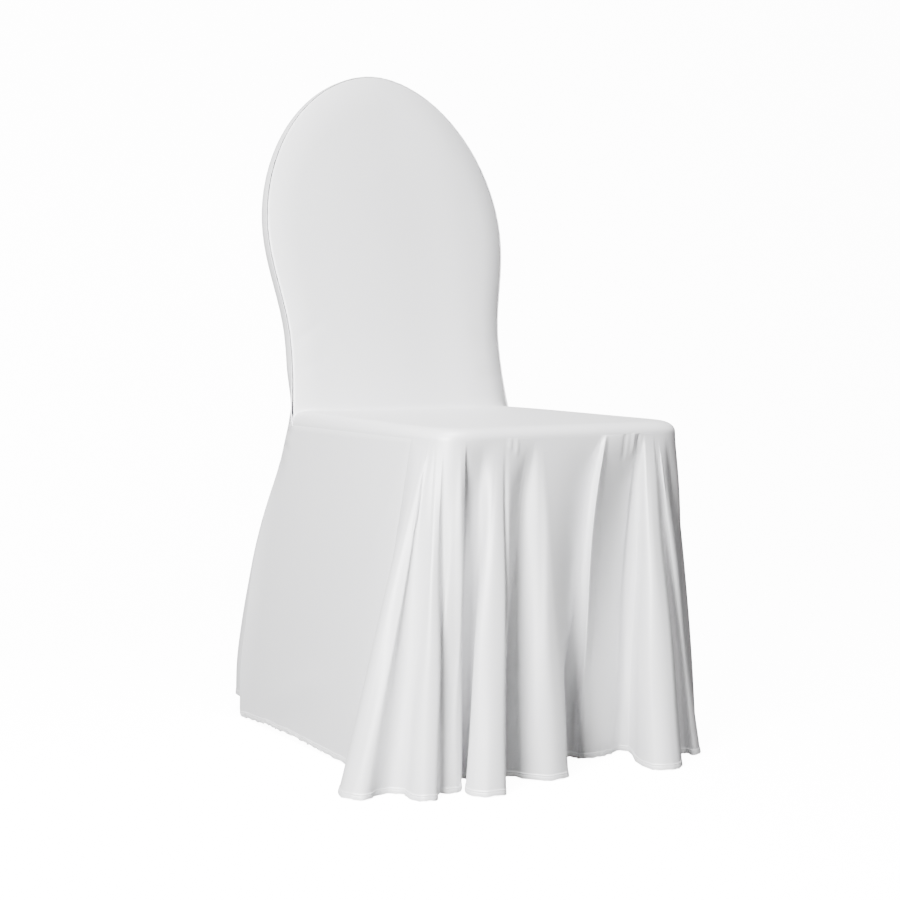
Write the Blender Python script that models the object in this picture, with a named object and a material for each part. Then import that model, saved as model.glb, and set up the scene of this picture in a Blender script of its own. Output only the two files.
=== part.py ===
"""Stretch cover with a gathered front drape, as the sewn panels that make it.

Metres, +Z up. X runs across, -Y is the front, and the front hem is at Z = 0.
Each panel is a thin closed sheet. Its outer side is worked out from the sizes
below, and its inner side lies one cloth thickness further in.
"""
import math
from collections import namedtuple

import bmesh
import bpy
from mathutils import Vector

# Cloth
CLOTH = 0.0015            # thickness of the knit with its seam allowance
GAP = 0.0003              # clearance between two sewn panels
CLOTH_COLOUR = (0.86, 0.86, 0.87, 1.0)
CLOTH_ROUGHNESS = 0.75

# Seat panel, with a rim that rolls down on three sides
SEAT_REAR_HEIGHT = 0.464
SEAT_FRONT_DROP = 0.006   # the seat's front lies this much lower
RIM_HEIGHT = 0.443        # where the skirt is sewn to the rim
SEAT_FRONT_Y = -0.211
SEAT_REAR_Y = 0.2068
SEAT_FRONT_HALF = 0.203
SEAT_REAR_HALF = 0.189
RIM_RADIUS = 0.018
CORNER_POWER = 12.0       # squareness of the seat's front corners
FLAT_SHARE = 0.90         # share of the panel that lies flat before the rim
FLAT_STEPS = 6
ROLL_STEPS = 4

# Backrest pocket, leaning back from the seat
BACK_PLANE_Y = 0.2010
BACK_SLOPE = 0.168        # run for each metre of rise
BACK_TOP = 0.9645
BULGE_HEIGHT = 0.727      # where the backrest is widest
BULGE_HALF = 0.2032
WAIST_HEIGHT = 0.560
WAIST_HALF = 0.1815
FOOT_HALF = 0.188
FOOT_POWER = 2.2
TOP_POWER = 1.9           # roundness of the top
TOP_LAST_ANGLE = math.radians(86.0)
FRONT_CROWN = 0.008       # how far the front panel swells in the middle
EDGE_ROLL = 0.008         # how far its edge turns back
EDGE_ROLL_START = 0.80    # share of the half width where the turn begins
BAND_WIDTH = 0.020
REAR_INSET = 0.004        # the rear outline is this much smaller
FOOT_INSET = 0.011        # and this much smaller at the foot
FOOT_INSET_TOP = 0.530
FOOT_CLEARANCE = 0.0018   # between the front panel's foot and the seat
REAR_CROWN = 0.004

# Side panels
SIDE_SEAM_TOP_Y = -0.140
SIDE_SEAM_HEM_Y = -0.050
SIDE_HEM_FRONT_X = 0.2225
SIDE_HEM_REAR_X = 0.2170
SIDE_HEM_ARCH = 0.006     # how far the side's hem lifts between its ends
ARCH_REARWARD = 1.5       # over 1 puts the lift nearer the rear corner
ARCH_FADE = 12.0          # how soon it fades above the hem
SIDE_WRAP = 0.040         # length that bends round the rear corner
HEM_CORNER = 0.014        # radius of the hem's rear corner
SKIRT_ROWS = 12           # level lines that the side and rear panels share

# Rear end of a side panel: where it stands at each height
SideEnd = namedtuple("SideEnd", "height x y")
SIDE_ENDS = [
    SideEnd(0.000, 0.2170, 0.330),
    SideEnd(0.060, 0.2155, 0.330),
    SideEnd(0.150, 0.2115, 0.315),
    SideEnd(0.235, 0.2060, 0.301),
    SideEnd(0.320, 0.1970, 0.274),
    SideEnd(0.390, 0.1855, 0.249),
    SideEnd(0.443, 0.1800, 0.233),
]

# Skirt part of the rear panel. Its side edges stand tuck inside and lap behind the
# rear ends of the side panels; middle_y is its depth and square its squareness.
RearRow = namedtuple("RearRow", "height tuck lap middle_y square")
REAR_ROWS = [
    RearRow(0.025, 0.0100, -0.0040, 0.4010, 1.0),
    RearRow(0.060, 0.0085, -0.0050, 0.3970, 1.0),
    RearRow(0.150, 0.0055, 0.0030, 0.3780, 0.9),
    RearRow(0.235, 0.0025, 0.0030, 0.3485, 0.7),
    RearRow(0.320, 0.0000, 0.0028, 0.3070, 0.4),
    RearRow(0.390, 0.0000, 0.0028, 0.2690, 0.2),
    RearRow(0.443, 0.0000, 0.0028, 0.2405, 0.0),
]
REAR_HEM_HEIGHT = 0.025
REAR_SQUARENESS = 5.0
REAR_POCKET_STEPS = 14
REAR_COLUMNS = 26

# Front drape. Each row is one turn of the cloth, a fold (+1) or the hollow
# between two folds (-1). edge is its place along the seat's rim from the front
# centre, x and y its place at the hem, half_edge and half its half widths there,
# face the way it looks in degrees from the front, and swell how far it stands
# out at mid height.
Turn = namedtuple("Turn", "kind edge half_edge x y half face swell")
TURNS = [
    Turn(+1, -0.219, 0.004, -0.298, -0.165, 0.013, -47, 0.000),
    Turn(-1, -0.208, 0.004, -0.243, -0.160, 0.014, -28, 0.000),
    Turn(+1, -0.197, 0.004, -0.225, -0.214, 0.014, -35, 0.000),
    Turn(-1, -0.182, 0.007, -0.190, -0.196, 0.004, 0, 0.000),
    Turn(+1, -0.166, 0.004, -0.172, -0.203, 0.008, 0, 0.000),
    Turn(-1, -0.148, 0.011, -0.134, -0.146, 0.004, 0, 0.000),
    Turn(+1, -0.114, 0.006, -0.149, -0.241, 0.019, -30, 0.000),
    Turn(-1, -0.064, 0.005, -0.088, -0.166, 0.008, 0, 0.000),
    Turn(+1, -0.047, 0.005, -0.034, -0.222, 0.020, -15, 0.000),
    Turn(-1, 0.043, 0.004, 0.020, -0.143, 0.008, 20, 0.000),
    Turn(+1, 0.057, 0.004, 0.062, -0.150, 0.010, -52, 0.036),
    Turn(-1, 0.113, 0.005, 0.122, -0.147, 0.010, 20, -0.008),
    Turn(+1, 0.128, 0.006, 0.122, -0.262, 0.018, -22, 0.000),
    Turn(-1, 0.140, 0.003, 0.195, -0.206, 0.006, 0, 0.000),
    Turn(+1, 0.150, 0.004, 0.221, -0.214, 0.018, 46, 0.000),
    Turn(-1, 0.163, 0.004, 0.236, -0.160, 0.008, 30, 0.000),
    Turn(+1, 0.216, 0.006, 0.290, -0.126, 0.014, 50, 0.006),
]
TURN_ROUNDING = 0.35      # how far a turn's shoulders fall back, by half width
SWELL_SHIFT = 0.7         # under 1 puts the swell above mid height
SOFT_START = 0.035        # share of the fall over which the cloth hangs straight off the rim
GATHER_SHARE = 0.15       # share of a hollow's reach that the gathers give
GATHER_FALL = 0.11        # share of the fall by which it is there
DRAPE_ROWS = 12
DRAPE_ROW_POWER = 1.6
DRAPE_SPAN_STEPS = 2

OUTLINE_SAMPLES = 60


def clear_scene():
    for old in list(bpy.data.objects):
        bpy.data.objects.remove(old, do_unlink=True)


def mix(low, high, share):
    return low + (high - low) * share


def ease(share):
    share = min(1.0, max(0.0, share))
    return share * share * (3.0 - 2.0 * share)


def hermite(place, places, values):
    """Smooth value at place through (places, values), without overshoot."""
    place = min(places[-1], max(places[0], place))
    last = len(places) - 2
    i = 0
    while i < last and place > places[i + 1]:
        i += 1
    slopes = [(values[k + 1] - values[k]) / (places[k + 1] - places[k]) for k in range(len(places) - 1)]

    def tangent(k):
        if k == 0 or k == len(places) - 1:
            return slopes[min(k, len(slopes) - 1)]
        before, after = slopes[k - 1], slopes[k]
        if before * after <= 0.0:
            return 0.0
        return 2.0 * before * after / (before + after)

    span = places[i + 1] - places[i]
    t = (place - places[i]) / span
    return ((2 * t ** 3 - 3 * t ** 2 + 1) * values[i]
            + (t ** 3 - 2 * t ** 2 + t) * span * tangent(i)
            + (3 * t ** 2 - 2 * t ** 3) * values[i + 1]
            + (t ** 3 - t ** 2) * span * tangent(i + 1))


def read_rows(rows, column, height):
    """Value of one named column of a table at a height."""
    return hermite(height, [row.height for row in rows], [getattr(row, column) for row in rows])


def path_through(points, steps):
    """Rounded path through plan points, each span cut into the same steps."""
    ends = [points[0] * 2.0 - points[1]] + points + [points[-1] * 2.0 - points[-2]]
    path = []
    for i in range(1, len(ends) - 2):
        before, start, end, after = ends[i - 1:i + 3]
        length = max((end - start).length, GAP)
        left = length / max((start - before).length, GAP)
        right = length / max((after - end).length, GAP)
        leave = ((end - start) + (start - before) * left * left) / (1.0 + left)
        arrive = ((end - start) + (after - end) * right * right) / (1.0 + right)
        for k in range(steps):
            t = k / steps
            path.append(start * (2 * t ** 3 - 3 * t ** 2 + 1) + leave * (t ** 3 - 2 * t ** 2 + t)
                        + end * (3 * t ** 2 - 2 * t ** 3) + arrive * (t ** 3 - t ** 2))
    path.append(points[-1].copy())
    return path


def cloth_material(name):
    material = bpy.data.materials.new(name)
    material.use_nodes = True
    shader = material.node_tree.nodes["Principled BSDF"]
    shader.inputs["Base Color"].default_value = CLOTH_COLOUR
    shader.inputs["Roughness"].default_value = CLOTH_ROUGHNESS
    shader.inputs["Metallic"].default_value = 0.0
    return material


def sheet(name, outer, inward):
    """Closed sheet from a grid of outer points and the way in at each of them."""
    rows, columns = len(outer), len(outer[0])
    mesh_data = bmesh.new()
    front = [[mesh_data.verts.new(point) for point in row] for row in outer]
    back = [[mesh_data.verts.new(outer[i][j] + inward[i][j] * CLOTH) for j in range(columns)]
            for i in range(rows)]

    def quad(a, b, c, d):
        mesh_data.faces.new((a, b, c))
        mesh_data.faces.new((a, c, d))

    for i in range(rows - 1):
        for j in range(columns - 1):
            quad(front[i][j], front[i][j + 1], front[i + 1][j + 1], front[i + 1][j])
            quad(back[i + 1][j + 1], back[i][j + 1], back[i][j], back[i + 1][j])
    for j in range(columns - 1):
        quad(front[0][j + 1], front[0][j], back[0][j], back[0][j + 1])
        quad(front[-1][j], front[-1][j + 1], back[-1][j + 1], back[-1][j])
    for i in range(rows - 1):
        quad(front[i][0], front[i + 1][0], back[i + 1][0], back[i][0])
        quad(front[i + 1][-1], front[i][-1], back[i][-1], back[i + 1][-1])
    bmesh.ops.recalc_face_normals(mesh_data, faces=mesh_data.faces)
    mesh = bpy.data.meshes.new(name)
    mesh_data.to_mesh(mesh)
    mesh_data.free()
    mesh.shade_smooth()
    mesh.set_sharp_from_angle(angle=math.radians(50.0))
    mesh.materials.append(cloth_material(name + "_knit"))
    panel = bpy.data.objects.new(name, mesh)
    bpy.context.scene.collection.objects.link(panel)
    return panel


def level_inward(grid):
    """Way in for a hanging panel: level, square to each row, right of its path."""
    ways = []
    for row in grid:
        last = len(row) - 1
        line = []
        for j in range(len(row)):
            along = row[min(j + 1, last)] - row[max(j - 1, 0)]
            line.append(Vector((-along.y, along.x, 0.0)).normalized())
        ways.append(line)
    return ways


# Seat
def seat_height(y):
    """Height of the flat part of the seat."""
    share = (SEAT_REAR_Y - y) / (SEAT_REAR_Y - SEAT_FRONT_Y)
    return SEAT_REAR_HEIGHT - SEAT_FRONT_DROP * ease(share)


def seat_plan(p, q):
    """Plan point from shares of the half width and of the depth."""
    y = mix(SEAT_REAR_Y, SEAT_FRONT_Y, q)
    return Vector((p * mix(SEAT_REAR_HALF, SEAT_FRONT_HALF, q), y, 0.0))


def seat_point(a, b):
    """Outer point and way in, for grid shares a across and b from the rear."""
    ring = max(abs(a), b, GAP)
    corner = ring / (abs(a) ** CORNER_POWER + b ** CORNER_POWER) ** (1.0 / CORNER_POWER) if ring > GAP else 1.0
    unit_p, unit_q = a / ring * corner, b / ring * corner
    roll = max(0.0, (ring - FLAT_SHARE) / (1.0 - FLAT_SHARE)) * math.pi / 2.0
    inset = RIM_RADIUS * (1.0 - math.sin(roll))
    inside = min(1.0, ring / FLAT_SHARE)
    depth = SEAT_REAR_Y - SEAT_FRONT_Y
    point = seat_plan(unit_p * inside * (1.0 - inset / SEAT_FRONT_HALF),
                      unit_q * inside * (1.0 - inset / depth))
    top = seat_height(point.y)
    point.z = mix(RIM_HEIGHT, top, math.cos(roll))
    out = Vector((math.copysign(abs(unit_p) ** (CORNER_POWER - 1.0), unit_p) / SEAT_FRONT_HALF,
                  -(unit_q ** (CORNER_POWER - 1.0)) / depth, 0.0))
    if out.length > 0.0:
        out.normalize()
    return point, -(out * math.sin(roll) + Vector((0.0, 0.0, 1.0)) * math.cos(roll))


def seat_shares():
    flat = [FLAT_SHARE * math.sin(math.pi / 2.0 * i / FLAT_STEPS) for i in range(FLAT_STEPS)]
    rolled = [mix(FLAT_SHARE, 1.0, i / ROLL_STEPS) for i in range(ROLL_STEPS + 1)]
    return flat + rolled


def make_seat():
    down = seat_shares()
    across = [-share for share in reversed(down[1:])] + down
    grid = [[seat_point(a, b) for a in across] for b in down]
    return sheet("seat", [[cell[0] for cell in row] for row in grid],
                 [[cell[1] for cell in row] for row in grid])


def rim_outline():
    """Plan points of the seat's rim from rear left, round the front, to rear right."""
    side = [i / OUTLINE_SAMPLES for i in range(OUTLINE_SAMPLES)]
    left = [seat_point(-1.0, share)[0] for share in side]
    front = [seat_point(2.0 * share - 1.0, 1.0)[0] for share in side]
    right = [seat_point(1.0, 1.0 - share)[0] for share in side]
    return left + front + right + [seat_point(1.0, 0.0)[0]]


RIM = rim_outline()


def rim_lengths():
    """Length along the rim at each outline point, 0 at the front centre."""
    lengths = [0.0]
    for i in range(1, len(RIM)):
        lengths.append(lengths[-1] + (RIM[i] - RIM[i - 1]).length)
    return [length - lengths[-1] / 2.0 for length in lengths]


RIM_LENGTHS = rim_lengths()


def rim_at(length):
    """Plan point of the rim at a length along it."""
    for i in range(len(RIM) - 1):
        if length <= RIM_LENGTHS[i + 1]:
            share = (length - RIM_LENGTHS[i]) / (RIM_LENGTHS[i + 1] - RIM_LENGTHS[i])
            return RIM[i].lerp(RIM[i + 1], max(0.0, share))
    return RIM[-1].copy()


def rim_x(y):
    """Half width of the rim at a depth."""
    for i in range(len(RIM) - 1):
        if RIM[i + 1].y <= y:
            share = (RIM[i].y - y) / (RIM[i].y - RIM[i + 1].y)
            return -mix(RIM[i].x, RIM[i + 1].x, max(0.0, share))
    return SEAT_FRONT_HALF


def skirt_levels():
    """Heights of the level lines that the side and rear panels share."""
    return [(RIM_HEIGHT - GAP) * i / SKIRT_ROWS for i in range(SKIRT_ROWS + 1)]


# Backrest pocket
def back_half(z):
    """Half width of the backrest below its widest place."""
    if z >= WAIST_HEIGHT:
        share = (z - WAIST_HEIGHT) / (BULGE_HEIGHT - WAIST_HEIGHT)
        return mix(WAIST_HALF, BULGE_HALF, (1.0 - math.cos(math.pi * share)) / 2.0)
    share = (WAIST_HEIGHT - z) / (WAIST_HEIGHT - SEAT_REAR_HEIGHT)
    return mix(WAIST_HALF, FOOT_HALF, min(1.0, share) ** FOOT_POWER)


def back_outline(steps):
    """Right half of the outline from the seat to the top, as (half width, height)."""
    low_steps = steps // 2
    rise = BULGE_HEIGHT - SEAT_REAR_HEIGHT
    low = [SEAT_REAR_HEIGHT + rise * i / low_steps for i in range(low_steps)]
    outline = [(back_half(z), z) for z in low]
    high_steps = steps - low_steps
    for i in range(high_steps + 1):
        angle = TOP_LAST_ANGLE * i / high_steps
        outline.append((BULGE_HALF * math.cos(angle) ** (2.0 / TOP_POWER),
                        BULGE_HEIGHT + (BACK_TOP - BULGE_HEIGHT) * math.sin(angle) ** (2.0 / TOP_POWER)))
    return outline


def back_plane(z):
    return BACK_PLANE_Y + BACK_SLOPE * (z - SEAT_REAR_HEIGHT)


def edge_share(x, z):
    """0 in the middle of the backrest and 1 on its outline."""
    if z <= BULGE_HEIGHT:
        return abs(x) / back_half(z)
    rise = (z - BULGE_HEIGHT) / (BACK_TOP - BULGE_HEIGHT)
    return ((abs(x) / BULGE_HALF) ** TOP_POWER + rise ** TOP_POWER) ** (1.0 / TOP_POWER)


def front_panel_y(x, z):
    share = min(1.0, edge_share(x, z))
    swell = FRONT_CROWN * (1.0 - share * share)
    turn = max(0.0, (share - EDGE_ROLL_START) / (1.0 - EDGE_ROLL_START))
    return back_plane(z) - swell + EDGE_ROLL * turn * turn


def rim_top(x):
    """Height of the seat's rim profile at its rear end."""
    past = (abs(x) - SEAT_REAR_HALF - FOOT_CLEARANCE) / RIM_RADIUS + 1.0
    if past <= 0.0:
        return SEAT_REAR_HEIGHT
    return mix(RIM_HEIGHT, SEAT_REAR_HEIGHT, math.sqrt(max(0.0, 1.0 - past * past)))


def make_back_front(steps=18, columns=16):
    grid = []
    for i, (half, z) in enumerate(back_outline(steps)):
        row = []
        for j in range(columns + 1):
            across = math.sin(math.pi / 2.0 * (2.0 * j / columns - 1.0))
            x = half * across
            height = z
            if i == 0:
                height = rim_top(x) + FOOT_CLEARANCE
            row.append(Vector((x, front_panel_y(x, z) + BACK_SLOPE * (height - z), height)))
        grid.append(row)
    back_way = Vector((0.0, 1.0, 0.0))
    return sheet("back_front", grid, [[back_way] * len(row) for row in grid])


def rear_inset(z):
    """How much smaller the rear outline is, more so near the seat."""
    return mix(FOOT_INSET, REAR_INSET, ease((z - SEAT_REAR_HEIGHT) / (FOOT_INSET_TOP - SEAT_REAR_HEIGHT)))


def band_line(steps):
    """Outline of the backrest from left foot over the top to right foot, with the ways in."""
    right = [(FOOT_HALF, RIM_HEIGHT + 2.0 * GAP)] + back_outline(steps)
    line = [(-half, z) for half, z in right] + list(reversed(right))
    last = len(line) - 1
    ways = []
    for k in range(len(line)):
        start = line[max(k - 1, 0)]
        end = line[min(k + 1, last)]
        ways.append(Vector((end[1] - start[1], 0.0, start[0] - end[0])).normalized())
    return line, ways


def band_front_y(z):
    return back_plane(z) + EDGE_ROLL + CLOTH + GAP


def make_back_band(steps=18):
    line, ways = band_line(steps)
    near = [Vector((x, band_front_y(z), z)) for x, z in line]
    far = []
    for point, way in zip(near, ways):
        point = point + way * rear_inset(point.z)
        point.y = band_front_y(point.z) + BAND_WIDTH
        far.append(point)
    return sheet("back_band", [near, far], [ways, ways])


def rear_edge_y(z):
    return band_front_y(z) + BAND_WIDTH + CLOTH + GAP


def rear_outline(steps):
    """Right half of the rear panel's outline above the seat, top last."""
    line, ways = band_line(steps)
    outline = []
    for (x, z), way in list(zip(line, ways))[1:len(line) // 2]:
        inset = rear_inset(z)
        outline.append((-x - way.x * inset, z + way.z * inset))
    return outline


def rear_row(half, edge_y, middle_y, square, z):
    """One level line of the rear panel, from its left edge to its right edge."""
    row = []
    for j in range(REAR_COLUMNS + 1):
        across = 2.0 * j / REAR_COLUMNS - 1.0
        flat = Vector((half * across, mix(edge_y, middle_y, 1.0 - across * across), z))
        turn = math.pi / 2.0 * (1.0 - abs(across))
        power = 2.0 / REAR_SQUARENESS
        boxed = Vector((math.copysign(half * max(0.0, math.cos(turn)) ** power, across),
                        mix(edge_y, middle_y, math.sin(turn) ** power), z))
        row.append(flat.lerp(boxed, square))
    return row


def make_back_rear():
    grid = []
    for z in [REAR_HEM_HEIGHT] + skirt_levels()[1:]:
        edge_x = read_rows(SIDE_ENDS, "x", z) - read_rows(REAR_ROWS, "tuck", z)
        edge_y = read_rows(SIDE_ENDS, "y", z) + read_rows(REAR_ROWS, "lap", z)
        grid.append(rear_row(edge_x, edge_y, read_rows(REAR_ROWS, "middle_y", z),
                             read_rows(REAR_ROWS, "square", z), z))
    for half, z in rear_outline(REAR_POCKET_STEPS):
        crown = REAR_CROWN * min(1.0, half / BULGE_HALF)
        grid.append(rear_row(half, rear_edge_y(z), rear_edge_y(z) + crown, 0.0, z))
    ways = [[-way for way in row] for row in level_inward(grid)]
    return sheet("back_rear", grid, ways)


# Side panels
def side_grid(side, columns=12):
    """Outer points of a side panel, from its hem up; side is -1 left or +1 right."""
    grid = []
    for z in skirt_levels():
        fall = 1.0 - z / (RIM_HEIGHT - GAP)
        start = mix(SIDE_SEAM_TOP_Y, SIDE_SEAM_HEM_Y, fall) + GAP
        end_x = read_rows(SIDE_ENDS, "x", z)
        end_y = read_rows(SIDE_ENDS, "y", z)
        if z < HEM_CORNER:
            end_y -= HEM_CORNER - math.sqrt(HEM_CORNER ** 2 - (HEM_CORNER - z) ** 2)
        row = []
        for j in range(columns + 1):
            y = mix(start, end_y, j / columns)
            rim_y = mix(SIDE_SEAM_TOP_Y, SEAT_REAR_Y, j / columns)
            hem_x = mix(SIDE_HEM_FRONT_X, SIDE_HEM_REAR_X, j / columns)
            plain = mix(rim_x(rim_y), hem_x, fall)
            bend = max(0.0, (y - end_y + SIDE_WRAP) / SIDE_WRAP)
            arch = SIDE_HEM_ARCH * math.sin(math.pi * (j / columns) ** ARCH_REARWARD)
            row.append(Vector((side * mix(plain, end_x, bend * bend), y, z + arch * fall ** ARCH_FADE)))
        grid.append(row)
    return grid


def make_side(name, side):
    grid = side_grid(side)
    ways = [[way * side for way in row] for row in level_inward(grid)]
    return sheet(name, grid, ways)


# Front drape
def drape_controls():
    """Rim length, hem point, swell and hollowness of every control point of the drape."""
    seam_edge = next(RIM_LENGTHS[i] for i in range(len(RIM)) if RIM[i].y <= SIDE_SEAM_TOP_Y)
    seam_hem = Vector((SIDE_HEM_FRONT_X, SIDE_SEAM_HEM_Y, 0.0))
    controls = [(seam_edge, Vector((-seam_hem.x, seam_hem.y - GAP, 0.0)), Vector(), 0.0)]
    for turn in TURNS:
        face = math.radians(turn.face)
        out = Vector((math.sin(face), -math.cos(face), 0.0))
        along = Vector((math.cos(face), math.sin(face), 0.0))
        for step in (-1, 0, 1):
            fall_back = out * (-turn.kind * TURN_ROUNDING * turn.half * abs(step))
            hem = Vector((turn.x, turn.y, 0.0)) + along * (turn.half * step) + fall_back
            swell = out * turn.swell * (1.0 - 0.5 * abs(step))
            hollow = 1.0 if turn.kind < 0 else 0.0
            controls.append((turn.edge + turn.half_edge * step, hem, swell, hollow))
    controls.append((-seam_edge, Vector((seam_hem.x, seam_hem.y - GAP, 0.0)), Vector(), 0.0))
    return controls


def soft_fall(fall):
    return fall - SOFT_START * (1.0 - math.exp(-fall / SOFT_START))


def drape_reach(fall, hollow):
    """Share of the way from the rim to the hem point, greater in the hollows near the rim."""
    gather = 1.0 - math.exp(-(fall / GATHER_FALL) ** 2)
    return mix(soft_fall(fall) / soft_fall(1.0), gather, GATHER_SHARE * hollow * (1.0 - fall))


def drape_grid(span_steps, rows):
    """Outer points of the drape, from the rim down to the hem."""
    controls = drape_controls()
    hems = path_through([control[1] for control in controls], span_steps)
    places = list(range(len(controls)))
    grid = []
    for i in range(rows):
        fall = (i / (rows - 1)) ** DRAPE_ROW_POWER
        row = []
        for k, hem in enumerate(hems):
            place = k / span_steps
            free = ease(min(place, places[-1] - place))
            edge = hermite(place, places, [control[0] for control in controls])
            swell = [hermite(place, places, [control[2][axis] for control in controls]) for axis in (0, 1)]
            hollow = hermite(place, places, [control[3] for control in controls])
            point = rim_at(edge).lerp(hem, mix(fall, drape_reach(fall, hollow), free))
            lift = math.sin(math.pi * fall ** SWELL_SHIFT)
            point += Vector((swell[0], swell[1], 0.0)) * lift
            point.z = (RIM_HEIGHT - GAP) * (1.0 - fall)
            row.append(point)
        grid.append(row)
    return grid


def make_front_drape():
    grid = drape_grid(DRAPE_SPAN_STEPS, DRAPE_ROWS)
    return sheet("front_drape", grid, level_inward(grid))


def centre_on_floor(panels):
    """Move the panels so that the box of all of them stands centred on the origin."""
    points = [vertex.co for panel in panels for vertex in panel.data.vertices]
    low = Vector([min(point[axis] for point in points) for axis in range(3)])
    high = Vector([max(point[axis] for point in points) for axis in range(3)])
    shift = Vector(((low.x + high.x) / 2.0, (low.y + high.y) / 2.0, low.z))
    for panel in panels:
        for vertex in panel.data.vertices:
            vertex.co -= shift
    print("cover", [round(size, 4) for size in high - low], "shift", [round(value, 4) for value in shift])


def main():
    clear_scene()
    panels = [
        make_back_front(),
        make_back_band(),
        make_back_rear(),
        make_seat(),
        make_side("side_left", -1),
        make_side("side_right", 1),
        make_front_drape(),
    ]
    centre_on_floor(panels)
    for panel in panels:
        print(panel.name, len(panel.data.polygons))


main()
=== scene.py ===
# White stretch knit chair cover: backrest pocket, seat panel, tight sides and a gathered front drape.
# Lengths are metres. Panels are drawn about the middle of the seat and then put where the frame has it.
import math
from collections import namedtuple

import bmesh
import bpy
import numpy as np
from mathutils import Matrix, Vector


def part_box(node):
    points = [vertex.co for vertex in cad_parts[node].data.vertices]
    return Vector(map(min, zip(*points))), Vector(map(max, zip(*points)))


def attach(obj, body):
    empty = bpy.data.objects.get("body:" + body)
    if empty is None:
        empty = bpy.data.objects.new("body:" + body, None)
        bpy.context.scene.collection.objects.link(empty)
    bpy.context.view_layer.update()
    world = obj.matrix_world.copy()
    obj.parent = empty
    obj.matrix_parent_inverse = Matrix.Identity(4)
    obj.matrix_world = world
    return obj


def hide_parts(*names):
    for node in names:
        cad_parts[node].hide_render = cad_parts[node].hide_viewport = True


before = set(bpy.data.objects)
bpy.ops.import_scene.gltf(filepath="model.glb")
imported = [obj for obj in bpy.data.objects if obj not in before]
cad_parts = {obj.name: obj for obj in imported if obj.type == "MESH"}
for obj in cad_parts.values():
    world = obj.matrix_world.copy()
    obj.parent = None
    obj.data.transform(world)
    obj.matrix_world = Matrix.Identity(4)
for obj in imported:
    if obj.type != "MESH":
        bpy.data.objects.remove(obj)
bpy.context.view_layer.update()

cloth = {
    "thickness": 0.0011,      # knit under tension
    "hemThickness": 0.0022,   # knit turned up once
    "hemWidth": 0.0075,
    "hemStand": 0.0006,       # how far the turned hem stands out
    "stitchHeight": 0.0056,   # row of hem stitches above the edge
    "stitchDip": 0.0004,
    "stitchWidth": 0.0006,
    "stitchRow": 5,           # the row of a hem's heights where the needle runs
    "turnedRows": 9,          # rows of a hem that are turned up
    "hemCrinkle": 0.0009,     # small waves that the stitching leaves
    "crinkleLength": 0.0105,
    "crinkleReach": 0.011,
    "hemScallop": 0.0010,     # and how far they lift the edge
    "scallopLength": 0.0125,
    "scallopReach": 0.008,
    "hemWave": 0.0016,        # how unevenly the hem's edge runs
    "waveLength": 0.043,
    "waveReach": 0.030,
    "rimGap": 0.0002,         # between the seat's rim and the skirt panels under it
    "seamTuck": 0.0006,       # how deep a seam draws the cloth in
    "seamGroove": 0.0042,     # and where it meets a band that stands up beside it
    "seamLip": 0.0006,        # how far that band's edge stands out
    "seamUnder": 0.0026,      # where one panel runs in under the other
    "seamLap": 0.0022,        # how far one panel reaches in under the other
    "seamWidth": 0.0022,
    "puckerLength": 0.012,    # from one seam pucker to the next
    "puckerDepth": 0.00022,
    "puckerReach": 0.008,
    "edgeAngle": math.radians(52.0),
}


# Curves and shapes shared by the panels
def mix(low, high, share):
    return low + (high - low) * share


def ease(share):
    share = min(1.0, max(0.0, share))
    return share * share * (3.0 - 2.0 * share)


def bell(distance, width):
    return math.exp(-(distance / width) ** 2)


def uneven(along, length):
    # a wave of about that length that never quite repeats, from -1 to 1
    turn = 2.0 * math.pi * along / length
    return 0.62 * math.sin(turn + 1.9 * math.sin(0.31 * turn)) + 0.38 * math.sin(0.57 * turn + 1.3)


def smoothValue(place, places, values):
    # smooth value at a place in a table, without overshoot
    place = min(places[-1], max(places[0], place))
    i = 0
    while i < len(places) - 2 and place > places[i + 1]:
        i += 1
    slopes = [(values[k + 1] - values[k]) / (places[k + 1] - places[k]) for k in range(len(places) - 1)]

    def tangent(k):
        if k == 0 or k == len(places) - 1:
            return slopes[min(k, len(slopes) - 1)]
        before, after = slopes[k - 1], slopes[k]
        return 0.0 if before * after <= 0.0 else 2.0 * before * after / (before + after)

    span = places[i + 1] - places[i]
    t = (place - places[i]) / span
    return ((2 * t ** 3 - 3 * t ** 2 + 1) * values[i] + (t ** 3 - 2 * t ** 2 + t) * span * tangent(i)
            + (3 * t ** 2 - 2 * t ** 3) * values[i + 1] + (t ** 3 - t ** 2) * span * tangent(i + 1))


def readRows(rows, column, height):
    return smoothValue(height, [row.height for row in rows], [getattr(row, column) for row in rows])


def pathThrough(points, counts):
    # rounded path through plan points, with a count of steps for each span
    least = 0.0003
    ends = [points[0] * 2.0 - points[1]] + points + [points[-1] * 2.0 - points[-2]]
    path = []
    for i in range(1, len(ends) - 2):
        before, start, end, after = ends[i - 1:i + 3]
        length = max((end - start).length, least)
        left = length / max((start - before).length, least)
        right = length / max((after - end).length, least)
        leave = ((end - start) + (start - before) * left * left) / (1.0 + left)
        arrive = ((end - start) + (after - end) * right * right) / (1.0 + right)
        for k in range(counts[i - 1]):
            t = k / counts[i - 1]
            path.append(start * (2 * t ** 3 - 3 * t ** 2 + 1) + leave * (t ** 3 - 2 * t ** 2 + t)
                        + end * (3 * t ** 2 - 2 * t ** 3) + arrive * (t ** 3 - t ** 2))
    path.append(points[-1].copy())
    return path


# Soft troughs and ridges: a line in the panel's own two sizes, its half width and how far it rises
Crease = namedtuple("Crease", "fromS fromT toS toT width rise")


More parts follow.
